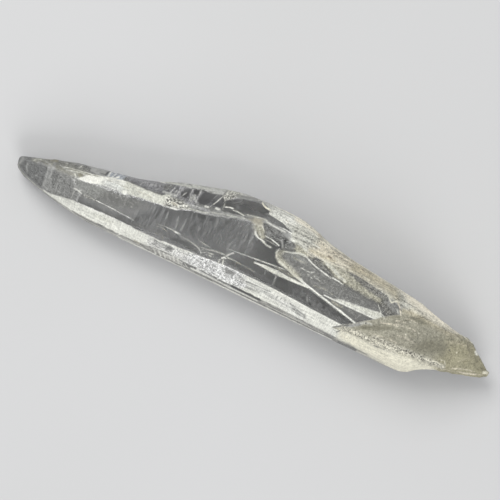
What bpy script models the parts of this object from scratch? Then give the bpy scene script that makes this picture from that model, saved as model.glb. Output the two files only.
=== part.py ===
"""Quartz crystal: one long tapering crystal, grown and broken as a single solid.

It lies on the flat prism face of its underside.  +X runs from the terminated tip to the
broken base, +Y from the long straight edge to the bulging edge, +Z up out of the widest
prism face.  The origin is on the resting plane, at the centre of the bounding box.

The body is lofted through cross-sections whose corners follow named edge lines.  The
rough break across the base and the scooped chips are then cut out of it.
"""

import bmesh
import bpy
from mathutils import Matrix, Vector, noise

MM = 0.001

# Driving dimensions: the bounding box of the lying crystal
LENGTH = 112.0 * MM
WIDTH = 21.0 * MM
THICKNESS = 16.0 * MM

# Edge lines, as (distance from the tip, distance from the long straight edge), in mm
LOWER_OUTLINE = (
    (0.0, 5.8), (0.2, 4.9), (0.8, 4.2), (2.2, 3.3), (4.2, 2.7), (7.6, 2.0), (10.4, 1.35),
    (13.8, 0.75), (18.5, 0.25), (28.0, 0.1), (44.0, 0.2), (56.0, 0.1), (80.0, 0.2),
    (92.2, 0.3), (94.3, 0.4), (95.8, 0.95), (97.6, 2.4), (101.1, 3.9), (105.0, 4.95),
    (108.8, 6.0), (111.4, 6.9), (112.0, 7.5),
)
UPPER_OUTLINE = (
    (0.0, 6.5), (0.2, 6.85), (0.8, 7.2), (3.2, 8.0), (7.5, 9.5), (11.8, 10.85),
    (19.4, 12.4), (26.0, 13.65), (30.6, 15.25), (31.6, 15.8), (35.6, 17.4), (41.5, 19.1),
    (43.6, 19.75), (47.6, 20.65), (52.0, 21.0), (58.0, 21.1), (61.5, 20.95), (64.2, 20.4),
    (69.0, 18.85),
    (74.0, 17.9), (83.7, 16.85), (92.0, 15.9), (96.0, 14.8), (103.8, 13.4), (106.4, 12.65),
    (109.1, 10.65), (110.7, 9.3), (112.0, 8.7),
)
BAND_FOOT = (
    (0.0, 5.95), (0.8, 4.6), (4.2, 3.0), (13.8, 1.15), (18.5, 0.75), (27.0, 0.8), (36.0, 1.35),
    (45.0, 1.45), (55.0, 1.75), (62.0, 1.45), (83.0, 1.35), (94.3, 1.7), (97.6, 3.3),
    (105.0, 5.7), (112.0, 7.75),
)
FACE_LOW = (
    (0.0, 6.05), (0.8, 5.0), (4.2, 3.4), (8.9, 2.5), (15.1, 3.15), (27.0, 3.65), (35.8, 3.5),
    (43.0, 4.1), (46.0, 4.6), (58.0, 4.75), (69.0, 4.3), (81.0, 4.1), (94.3, 4.2),
    (101.1, 5.9), (112.0, 8.0),
)
FACE_HIGH = (
    (0.0, 6.2), (0.8, 6.5), (4.2, 7.2), (13.7, 7.7), (23.9, 8.95), (31.9, 10.4), (39.1, 12.2),
    (46.7, 14.4), (53.0, 15.9), (60.0, 15.6), (67.0, 14.3), (76.0, 14.2), (92.0, 13.2),
    (103.8, 10.9), (112.0, 8.35),
)
RIDGE = (
    (0.0, 6.3), (0.8, 6.7), (4.2, 7.7), (10.9, 9.0), (18.8, 10.65), (24.8, 11.8), (28.8, 11.9),
    (36.8, 13.0), (44.7, 14.75), (54.7, 17.3), (61.0, 17.5), (68.0, 16.0), (80.0, 15.0),
    (92.0, 14.2), (103.8, 11.9), (112.0, 8.45),
)

# Height lines, as (distance from the tip, height above the resting plane), in mm
CROWN = (
    (0.0, 4.1), (0.2, 4.6), (0.8, 5.1), (2.2, 5.8), (4.2, 6.5), (13.8, 9.6), (86.0, 16.0),
    (92.0, 14.9), (97.6, 12.7), (106.4, 8.8), (110.7, 6.6), (112.0, 5.6),
)
BELLY = (
    (0.0, 3.3), (0.2, 2.8), (0.8, 2.3), (2.2, 1.6), (4.2, 1.1), (13.8, 0.0), (91.0, 0.0),
    (98.0, 0.9), (106.4, 2.3), (110.7, 3.3), (112.0, 4.1),
)

# Where the side corners sit between the belly and the crown, and the feet across the width
GIRDLE_LOW = 0.36
BAND_FOOT_HEIGHT = 0.70
SHOULDER_HEIGHT = 0.74
GIRDLE_HIGH = 0.44
RIDGE_SLOPE = 0.42
SHOULDER_INSET = 0.26  # of the way from the upper outline to the ridge
REST_EDGE_LOW = 0.25
REST_EDGE_HIGH = 0.76

# Faces round the section from the lower outline over the top: quads across each
FACE_QUADS = (2, 3, 7, 2, 3, 2, 5, 6, 4)
STATION_STEP = 1.7  # mm
STATION_CORNERS = (0.0, 0.2, 0.8, 2.2, 13.8, 30.6, 31.6, 94.3, 95.8, 97.6, 106.4, 110.7, 112.0)

# Relief of the surfaces
PRISM_WAVE = 0.05  # mm
BASE_WAVE = 0.45
BASE_START = 90.0
BASE_RUN = 12.0
WAVE_SCALE = 0.31
SECOND_WAVE = (40.0, 7.0, 3.0)  # where the upward waves are read, apart from the sideways ones
RESTING_SKIN = 0.3  # mm above the resting plane that stays flat

# The rough break that slants across the main face into the base
BREAK_START = 77.0  # mm from the tip, where the break line meets the low edge of the face
BREAK_SLANT = 1.36  # mm along the crystal for each mm across it
BREAK_FROM_Y = 2.9
BREAK_LIP = 0.35
BREAK_DROP = 1.0
BREAK_RUN = 3.0
BREAK_CAMBER = 0.9
BREAK_LUMP = 0.45
BREAK_GRIT = 0.25
BREAK_LUMP_SCALE = 0.24
BREAK_GRIT_SCALE = 0.8
BREAK_CELL = 1.2
BREAK_LEAD = 2.5  # of the cutter before the break line
BREAK_LENGTH = 44.0
BREAK_WIDTH = 24.0
BREAK_MIDDLE_Y = 10.5
BREAK_TOP = 22.0

# Scooped chips: name, distance from the tip, place across, radius of the scoop, its depth, in mm
CHIPS = (
    ("tip_chip", 7.6, 8.7, 5.0, 0.30),
    ("tip_side_chip", 12.4, 10.3, 6.0, 0.32),
    ("fan_chip", 20.6, 11.7, 5.0, 0.38),
    ("edge_chip", 33.0, 14.9, 6.5, 0.55),
    ("edge_hollow", 37.6, 16.2, 7.5, 0.50),
    ("oval_chip", 41.3, 16.0, 5.0, 0.42),
    ("side_chip", 44.4, 17.4, 5.0, 0.45),
    ("broad_chip", 50.2, 18.7, 13.0, 0.70),
    ("pocket_chip", 57.5, 16.2, 9.0, 0.35),
    ("shoulder_chip", 71.0, 16.9, 8.0, 0.30),
    ("base_chip", 107.6, 11.1, 2.5, 0.40),
)
SCOOP_LENGTHENING = 1.2  # a scoop is longer along the crystal than across it
SCOOP_LUMP = 0.16
SCOOP_LUMP_SCALE = 0.7
SCOOP_ROUNDNESS = 4  # subdivisions of the ball

UPPER_CORNERS = 7  # corners of a section that lie on the upper surface

COLOUR = (0.80, 0.80, 0.76, 1.0)
ROUGHNESS = 0.08
METALLIC = 0.0
IOR = 1.55


def at(line, distance):
    """Value of an edge or height line at a distance from the tip, straight between knots."""
    for (start, low), (end, high) in zip(line, line[1:]):
        if distance <= end:
            return low + (high - low) * (distance - start) / (end - start)
    return line[-1][1]


def clear_scene():
    for old in list(bpy.data.objects):
        bpy.data.objects.remove(old, do_unlink=True)


def quartz_material():
    material = bpy.data.materials.new("clear_quartz")
    material.use_nodes = True
    shader = material.node_tree.nodes["Principled BSDF"]
    shader.inputs["Base Color"].default_value = COLOUR
    shader.inputs["Roughness"].default_value = ROUGHNESS
    shader.inputs["Metallic"].default_value = METALLIC
    shader.inputs["IOR"].default_value = IOR
    shader.inputs["Transmission Weight"].default_value = 1.0
    return material


def section_corners(distance):
    """Corners of one cross-section, from the lower outline over the crown to the belly."""
    low, high = at(LOWER_OUTLINE, distance), at(UPPER_OUTLINE, distance)
    face_high, ridge = at(FACE_HIGH, distance), at(RIDGE, distance)
    crown, belly = at(CROWN, distance), at(BELLY, distance)
    depth, width = crown - belly, high - low
    return (
        (low, belly + GIRDLE_LOW * depth),
        (at(BAND_FOOT, distance), belly + BAND_FOOT_HEIGHT * depth),
        (at(FACE_LOW, distance), crown),
        (face_high, crown),
        (ridge, crown - RIDGE_SLOPE * (ridge - face_high)),
        (high - SHOULDER_INSET * (high - ridge), belly + SHOULDER_HEIGHT * depth),
        (high, belly + GIRDLE_HIGH * depth),
        (low + REST_EDGE_HIGH * width, belly),
        (low + REST_EDGE_LOW * width, belly),
    )


def section_ring(distance):
    """Points round one cross-section, in mm, evenly spread across each face."""
    corners = section_corners(distance)
    ring = []
    for corner, following, quads in zip(corners, corners[1:] + corners[:1], FACE_QUADS):
        for step in range(quads):
            share = step / quads
            across = corner[0] + (following[0] - corner[0]) * share
            height = corner[1] + (following[1] - corner[1]) * share
            ring.append(Vector((distance, across, height)))
    return ring


def stations():
    """Distances from the tip of all cross-sections: the sharp ones and even ones between."""
    places = []
    for start, end in zip(STATION_CORNERS, STATION_CORNERS[1:]):
        count = max(1, round((end - start) / STATION_STEP))
        places += [start + (end - start) * step / count for step in range(count)]
    return places + [STATION_CORNERS[-1]]


def relief(point):
    """Small uneven growth of the prism faces, rising to a lumpy surface at the base."""
    if point.z < RESTING_SKIN:
        return Vector((0.0, 0.0, 0.0))
    base = min(1.0, max(0.0, (point.x - BASE_START) / BASE_RUN))
    height = PRISM_WAVE + (BASE_WAVE - PRISM_WAVE) * base
    return height * Vector((
        0.0,
        noise.noise(point * WAVE_SCALE),
        noise.noise(point * WAVE_SCALE + Vector(SECOND_WAVE)),
    ))


def loft_body():
    """One face drawn at the tip and extruded from section to section along the crystal."""
    mesh = bmesh.new()
    rings = [section_ring(distance) for distance in stations()]
    face = mesh.faces.new([mesh.verts.new(point) for point in rings[0]])
    inner = []
    for ring in rings[1:]:
        grown = bmesh.ops.extrude_face_region(mesh, geom=[face])
        face = next(item for item in grown["geom"] if isinstance(item, bmesh.types.BMFace))
        for vert, place in zip(face.verts, ring):
            vert.co = place
        inner.append(face)
    bmesh.ops.delete(mesh, geom=inner[:-1], context="FACES_ONLY")
    for vert in mesh.verts:
        vert.co += relief(vert.co)
    bmesh.ops.recalc_face_normals(mesh, faces=mesh.faces[:])
    return mesh


def to_part_frame(mesh):
    """Fit the drawing, in mm, to the driving box and put the origin under its centre."""
    low = Vector([min(vert.co[axis] for vert in mesh.verts) for axis in range(3)])
    high = Vector([max(vert.co[axis] for vert in mesh.verts) for axis in range(3)])
    spans = (LENGTH, WIDTH, THICKNESS)
    scale = Vector([spans[axis] / (high[axis] - low[axis]) for axis in range(3)])
    origin = Vector(((low.x + high.x) / 2, (low.y + high.y) / 2, low.z))
    return Matrix.Diagonal(scale).to_4x4() @ Matrix.Translation(-origin)


def break_line(across):
    """Distance from the tip of the slanting line where the break starts."""
    return BREAK_START + BREAK_SLANT * (across - BREAK_FROM_Y)


def break_height(distance, across):
    """Height of the broken surface at the base, in mm: a low step, then rough ground."""
    step = min(1.0, max(0.0, (distance - break_line(across)) / BREAK_RUN))
    step = step * step * (3.0 - 2.0 * step)
    low, high = at(LOWER_OUTLINE, distance), at(UPPER_OUTLINE, distance)
    camber = 2.0 * (across - low) / max(high - low, 1.0) - 1.0
    spot = Vector((distance, across, 0.0))
    lumps = BREAK_LUMP * noise.noise(spot * BREAK_LUMP_SCALE)
    lumps += BREAK_GRIT * noise.noise(spot * BREAK_GRIT_SCALE)
    fall = BREAK_DROP + BREAK_CAMBER * min(camber * camber, 1.5)
    return at(CROWN, distance) + BREAK_LIP + (lumps - fall) * step


def break_cutter():
    """A block over the base whose underside is the broken surface, its rows along the break."""
    mesh = bmesh.new()
    bmesh.ops.create_grid(
        mesh,
        x_segments=round(BREAK_LENGTH / BREAK_CELL),
        y_segments=round(BREAK_WIDTH / BREAK_CELL),
        size=0.5,
        matrix=Matrix.Diagonal((BREAK_LENGTH, BREAK_WIDTH, 1.0, 1.0)),
    )
    for vert in mesh.verts:
        across = BREAK_MIDDLE_Y + vert.co.y
        distance = break_line(across) + vert.co.x + 0.5 * BREAK_LENGTH - BREAK_LEAD
        vert.co = Vector((distance, across, break_height(distance, across)))
    top = bmesh.ops.extrude_face_region(mesh, geom=mesh.faces[:])
    for vert in [item for item in top["geom"] if isinstance(item, bmesh.types.BMVert)]:
        vert.co.z = BREAK_TOP
    bmesh.ops.recalc_face_normals(mesh, faces=mesh.faces[:])
    return mesh


def upper_surface(distance, across):
    """A point of the drawn upper surface and the outward direction there, in one section."""
    corners = section_corners(distance)[:UPPER_CORNERS]
    for (y_low, z_low), (y_high, z_high) in zip(corners, corners[1:]):
        if y_low <= across <= y_high:
            height = z_low + (z_high - z_low) * (across - y_low) / (y_high - y_low)
            return (
                Vector((distance, across, height)),
                Vector((0.0, z_low - z_high, y_high - y_low)).normalized(),
            )
    raise ValueError("no surface there")


def chip_cutter(distance, across, radius, depth):
    """A lumpy ball that scoops a shell-shaped chip out of the surface."""
    point, outward = upper_surface(distance, across)
    centre = point + outward * (radius - depth)
    mesh = bmesh.new()
    bmesh.ops.create_icosphere(mesh, subdivisions=SCOOP_ROUNDNESS, radius=radius)
    for vert in mesh.verts:
        vert.co += vert.normal * SCOOP_LUMP * noise.noise(vert.co * SCOOP_LUMP_SCALE + point)
        vert.co.x *= SCOOP_LENGTHENING
        vert.co += centre
    return mesh


def add_object(name, mesh, frame):
    """Turn a drawing in mm into an object at its real size."""
    mesh.transform(frame)
    data = bpy.data.meshes.new(name)
    mesh.to_mesh(data)
    mesh.free()
    made = bpy.data.objects.new(name, data)
    bpy.context.scene.collection.objects.link(made)
    return made


def cut_from(body, name, mesh, frame):
    cutter = add_object(name, mesh, frame)
    cutter.hide_render = True
    cutter.display_type = "WIRE"
    cut = body.modifiers.new(name, "BOOLEAN")
    cut.operation = "DIFFERENCE"
    cut.solver = "EXACT"
    cut.object = cutter


def build():
    clear_scene()
    drawing = loft_body()
    frame = to_part_frame(drawing)
    crystal = add_object("crystal", drawing, frame)
    crystal.data.materials.append(quartz_material())
    cut_from(crystal, "base_break", break_cutter(), frame)
    for name, *place in CHIPS:
        cut_from(crystal, name, chip_cutter(*place), frame)


build()
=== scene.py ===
"""Looks of the quartz crystal: clear prism faces, milky sides, a rough break, inner fractures."""

import math

import bmesh
import bpy
from mathutils import Euler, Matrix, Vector, noise


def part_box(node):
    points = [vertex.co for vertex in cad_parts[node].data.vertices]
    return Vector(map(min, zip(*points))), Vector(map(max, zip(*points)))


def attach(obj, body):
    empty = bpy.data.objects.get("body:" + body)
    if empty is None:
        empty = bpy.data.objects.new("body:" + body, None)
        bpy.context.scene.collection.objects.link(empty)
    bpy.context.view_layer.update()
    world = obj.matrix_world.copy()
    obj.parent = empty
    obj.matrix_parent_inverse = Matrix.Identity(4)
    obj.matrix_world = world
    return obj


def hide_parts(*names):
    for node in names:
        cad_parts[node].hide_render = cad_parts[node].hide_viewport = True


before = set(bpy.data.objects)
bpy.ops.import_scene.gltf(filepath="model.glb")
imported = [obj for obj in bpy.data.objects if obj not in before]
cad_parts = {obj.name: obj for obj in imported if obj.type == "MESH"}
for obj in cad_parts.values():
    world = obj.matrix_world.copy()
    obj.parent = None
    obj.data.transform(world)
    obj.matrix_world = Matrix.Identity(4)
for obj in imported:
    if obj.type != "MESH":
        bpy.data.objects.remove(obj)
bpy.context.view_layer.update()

MM = 0.001
TIP_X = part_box("crystal")[0].x
LONG_EDGE_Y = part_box("crystal")[0].y

# Camera, straight above the main face
FRAME_WIDTH = 108.0 * MM
LENS = 200.0
SENSOR = 36.0
ROLL = math.radians(25.75)
LOOK_AT = (53.8, 10.0, 7.0)  # mm: along from the tip, across from the long edge, up

# Studio, in metres and watts
SOFTBOXES = (("key", (-0.35, 0.3, 0.55), 3.0), ("fill", (0.28, -0.48, 0.4), 2.0))
SOFTBOX_SIZE = 0.4
SKY = (0.97, 0.98, 1.0)
SKY_STRENGTH = 0.55
FLOOR_HALF = 3.0
FLOOR_DROP = 0.05 * MM  # keeps the floor off the resting face

# Main face: its height at two places along, in mm
CROWN_TIP = (13.8, 9.6)
CROWN_BASE = (86.0, 16.0)

# Clear quartz
QUARTZ_IOR = 1.55
SMOKE = (0.5, 0.5, 0.48)
SMOKE_DENSITY = 32.0  # per metre

# Finish of each kind of surface: milkiness, dullness, grain of the milk, streaks along it,
# lines across it, net of fine cracks, coarse and fine relief in mm, and the colour of the milk
FINISH = {
    "clear": (0, 0.02, 0, 0, 0, 0, 0.008, 0, (0.3, 0.3, 0.28)),
    "hazy": (0.3, 0.03, 0.1, 0, 0.2, 0, 0.008, 0, (0.49, 0.488, 0.46)),
    "misty": (0.42, 0.04, 0.06, 0, 0.1, 0, 0.008, 0, (0.52, 0.525, 0.49)),
    "lined": (0.03, 0.03, 0.03, 0, 0.7, 0, 0.008, 0, (0.8, 0.8, 0.78)),
    "ruled": (0, 0.04, 0.12, 0, 1.1, 0, 0.008, 0, (0.6, 0.6, 0.57)),
    "mottled": (0.03, 0.04, 0.2, 0, 0.4, 0.2, 0.01, 0, (0.42, 0.42, 0.4)),
    "crazed": (0.06, 0.03, 0.12, 0, 0.3, 0.2, 0.01, 0, (0.42, 0.42, 0.4)),
    "veil": (0.6, 0.15, 0.25, 0, 0, 0, 0.015, 0.008, (0.54, 0.52, 0.41)),
    "tip": (0.88, 0.2, 0.3, 0, 0.3, 0.1, 0.04, 0.01, (0.13, 0.132, 0.127)),
    "tip_root": (0.9, 0.2, 0.35, 0, 0.5, 0.25, 0.04, 0.012, (0.185, 0.186, 0.175)),
    "tip_ridge": (0.95, 0.3, 0.35, 0, 0.2, 0.2, 0.04, 0.02, (0.265, 0.258, 0.215)),
    "pale": (0.95, 0.25, 0.2, 0, 0.1, 0, 0.03, 0.01, (0.3, 0.3, 0.285)),
    "snow": (1.3, 0.35, 0.18, 0.1, 0.1, 0, 0.02, 0.01, (0.76, 0.755, 0.68)),
    # band, dapple, netted and streaked make the lower band: their white is partly frosting and
    # partly painted light, for the light its tilted face refracts and reflects
    "band": (1.3, 0.35, 0.2, 0.3, 0.3, 0, 0.02, 0.01, (0.82, 0.82, 0.74)),
    "dapple": (1.3, 0.3, 0.6, 0.6, 0.3, 0.35, 0.03, 0.02, (0.84, 0.835, 0.795)),
    "netted": (1.3, 0.3, 0.6, 0.4, 0.5, 0.6, 0.03, 0.02, (1, 1, 0.97)),
    "streaked": (1.3, 0.3, 0.3, 1, 0.3, 0, 0.03, 0.018, (0.75, 0.75, 0.7)),
    "cream": (1.4, 0.5, 0.22, 0.15, 0, 0, 0.05, 0.02, (0.805, 0.773, 0.625)),
    "gritty": (1.4, 0.6, 0.8, 0.3, 0, 0.35, 0.07, 0.05, (0.62, 0.595, 0.49)),
    "strip": (1, 0.15, 0.2, 1.2, 0, 0, 0.015, 0.006, (0.52, 0.51, 0.46)),
    "slate": (0.9, 0.4, 0.2, 0.05, 0.2, 0, 0.012, 0.004, (0.06, 0.06, 0.059)),
    "grey": (0.9, 0.12, 0.5, 0.3, 0.5, 0, 0.015, 0.006, (0.15, 0.15, 0.141)),
    "lens": (0.9, 0.12, 0.5, 0.4, 0.5, 0, 0.015, 0.006, (0.2, 0.195, 0.172)),
    "ivory": (1.3, 0.4, 0.35, 0.12, 0.2, 0, 0.035, 0.015, (0.58, 0.58, 0.505)),
    "ridge_grey": (1.3, 0.35, 0.35, 0.3, 0.2, 0.1, 0.03, 0.015, (0.59, 0.6, 0.555)),
    "ashen": (1.2, 0.3, 0.4, 0.6, 0.1, 0.2, 0.03, 0.012, (0.25, 0.25, 0.235)),
    "speckled": (1.3, 0.35, 1.2, 0.2, 0, 1, 0.035, 0.025, (0.66, 0.65, 0.575)),
    "smoky": (0.92, 0.1, 0.25, 0, 0.5, 0, 0.015, 0.005, (0.162, 0.162, 0.165)),
    "wispy": (0.95, 0.15, 0.35, 0, 1.2, 0, 0.02, 0.008, (0.24, 0.238, 0.24)),
    "fan": (1.1, 0.15, 0.25, 0, 0.3, 0, 0.02, 0.01, (0.305, 0.325, 0.35)),
    "edge": (1.1, 0.3, 0.6, 0.4, 0.1, 0.4, 0.035, 0.015, (0.25, 0.248, 0.225)),
    "rim": (1.1, 0.3, 0.45, 0.4, 0.1, 0.2, 0.03, 0.012, (0.5, 0.5, 0.465)),
    "tan": (1.2, 0.45, 0.3, 0, 0, 0, 0.04, 0.025, (0.37, 0.345, 0.275)),
    "rust": (1.2, 0.45, 0.2, 0, 0, 0, 0.03, 0.02, (0.22, 0.18, 0.13)),
    "frost": (1.3, 0.55, 0.42, 0.8, 0.1, 0.15, 0.04, 0.025, (0.61, 0.605, 0.53)),
    # Paler frost: painted light, lighter to make up for the shade on the tilted facet it covers
    "hoar": (1.3, 0.55, 0.3, 0.6, 0.2, 0.05, 0.04, 0.025, (0.78, 0.78, 0.71)),
    "buff": (1.3, 0.55, 0.4, 0.8, 0, 0.1, 0.045, 0.03, (0.82, 0.755, 0.6)),
    "sand": (1.3, 0.55, 0.38, 0.6, 0, 0.05, 0.045, 0.03, (0.55, 0.5, 0.365)),
    "break": (1.4, 0.6, 0.36, 0, 0, 0.05, 0.18, 0.035, (0.322, 0.308, 0.24)),
    "crust": (1.4, 0.55, 0.25, 0.3, 0, 0.05, 0.045, 0.025, (0.99, 0.925, 0.755)),
    "ochre": (1.4, 0.6, 0.36, 0, 0, 0.05, 0.18, 0.035, (0.33, 0.308, 0.208)),
    "olive": (1.3, 0.5, 0.25, 0, 0, 0, 0.14, 0.03, (0.201, 0.191, 0.14)),
    "belly": (0.05, 0.35, 0.05, 0, 0, 0, 0.015, 0.005, (0.4, 0.4, 0.38)),
}
COLUMNS = ("milk", "dull", "grain", "streaks", "striae", "net")

# How finishes meet
SOFTEST_EDGE = 0.95  # mm: a softer patch of dense milk only tints what is milky already
DENSE = 0.8  # milkiness from which a finish counts as dense
WANDER = 0.45  # mm: how far the edge of a patch strays from its outline
STROKE_WANDER = 0.3  # share of that for a stroke
CRISP_WANDER = 2.2  # share of it per mm of softness, as crisp edges stray less
CRISP = 0.1  # change of finish along an edge that gets the edge split
BELLY_TURN = (0.05, 0.35)  # how far a face looks down before it has the belly's finish

# Uneven shapes, as waves of (share, how many per mm)
EDGE_WAVES = ((0.55, 0.9), (0.3, 2.6), (0.15, 5.5))
COARSE_WAVES = ((1.0, 0.55), (0.6, 1.4))
FINE_WAVES = ((1.0, 2.4), (1.0, 4.0))

# Body: even faces, and the wear of its sharp edges in mm
EVEN_DEPTH = 9
EVEN_SCALE = 0.7
WORN_ANGLE = 0.3
WEAR = 0.02
CHIP = 0.12
CHIP_WAVES = 0.8  # per mm
RELIEF_FROM = 0.4  # mm: the resting face below this height stays flat
CREASE = math.radians(22.0)

# Leaves inside, in mm
LEAF_STEP = 0.35
LEAF_COLUMNS = 6
LEAF_THICKNESS = 0.03
LEAF_NARROWEST = 0.02
LEAF_COVER = 0.25  # least depth under the main face
LEAF_WAVE = 0.12

# Line along the foot of the lower band, whose white is partly frosting and partly painted light:
# (along, across), in mm
BAND_FOOT = (
    (12, 1.35), (15, 1), (20, 0.95), (26, 0.9), (30, 0.9), (34, 1.2), (40, 1.65), (44, 1.65),
    (50, 1.55), (60, 1.45), (70, 1.3),
)

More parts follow.
